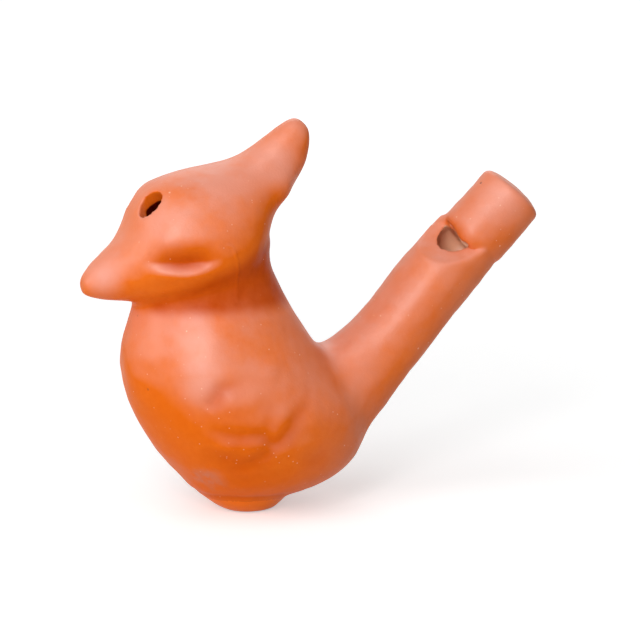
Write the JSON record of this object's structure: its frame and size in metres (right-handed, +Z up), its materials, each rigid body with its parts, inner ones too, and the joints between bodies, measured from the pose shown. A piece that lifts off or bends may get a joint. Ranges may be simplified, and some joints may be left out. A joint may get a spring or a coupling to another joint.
{
  "type": "bird call",
  "caption": "Hollow terracotta bird whistle with a crested head, drilled eyes, a small foot and a raised tail tube with a voicing window and a mouthpiece plug, blown with water inside.",
  "frame": {"origin": "on the flat under the foot, below the middle of the foot's crease", "axes": "+X from the beak to the tail, +Y to the bird's right side, +Z up"},
  "size_m": [0.0836, 0.0342, 0.0692],
  "materials": {
    "terracotta": "unglazed, satin-matt, rubbed smooth",
    "slip": "unglazed, matt, slightly paler"
  },
  "bodies": {
    "root": {"left_half": "terracotta", "right_half": "terracotta", "seam_slip": "slip", "foot_pad": "terracotta", "foot_slip": "slip", "tail_tube": "terracotta", "tail_slip": "slip", "mouthpiece": "terracotta", "mouthpiece_slip": "slip"}
  },
  "joints": []
}
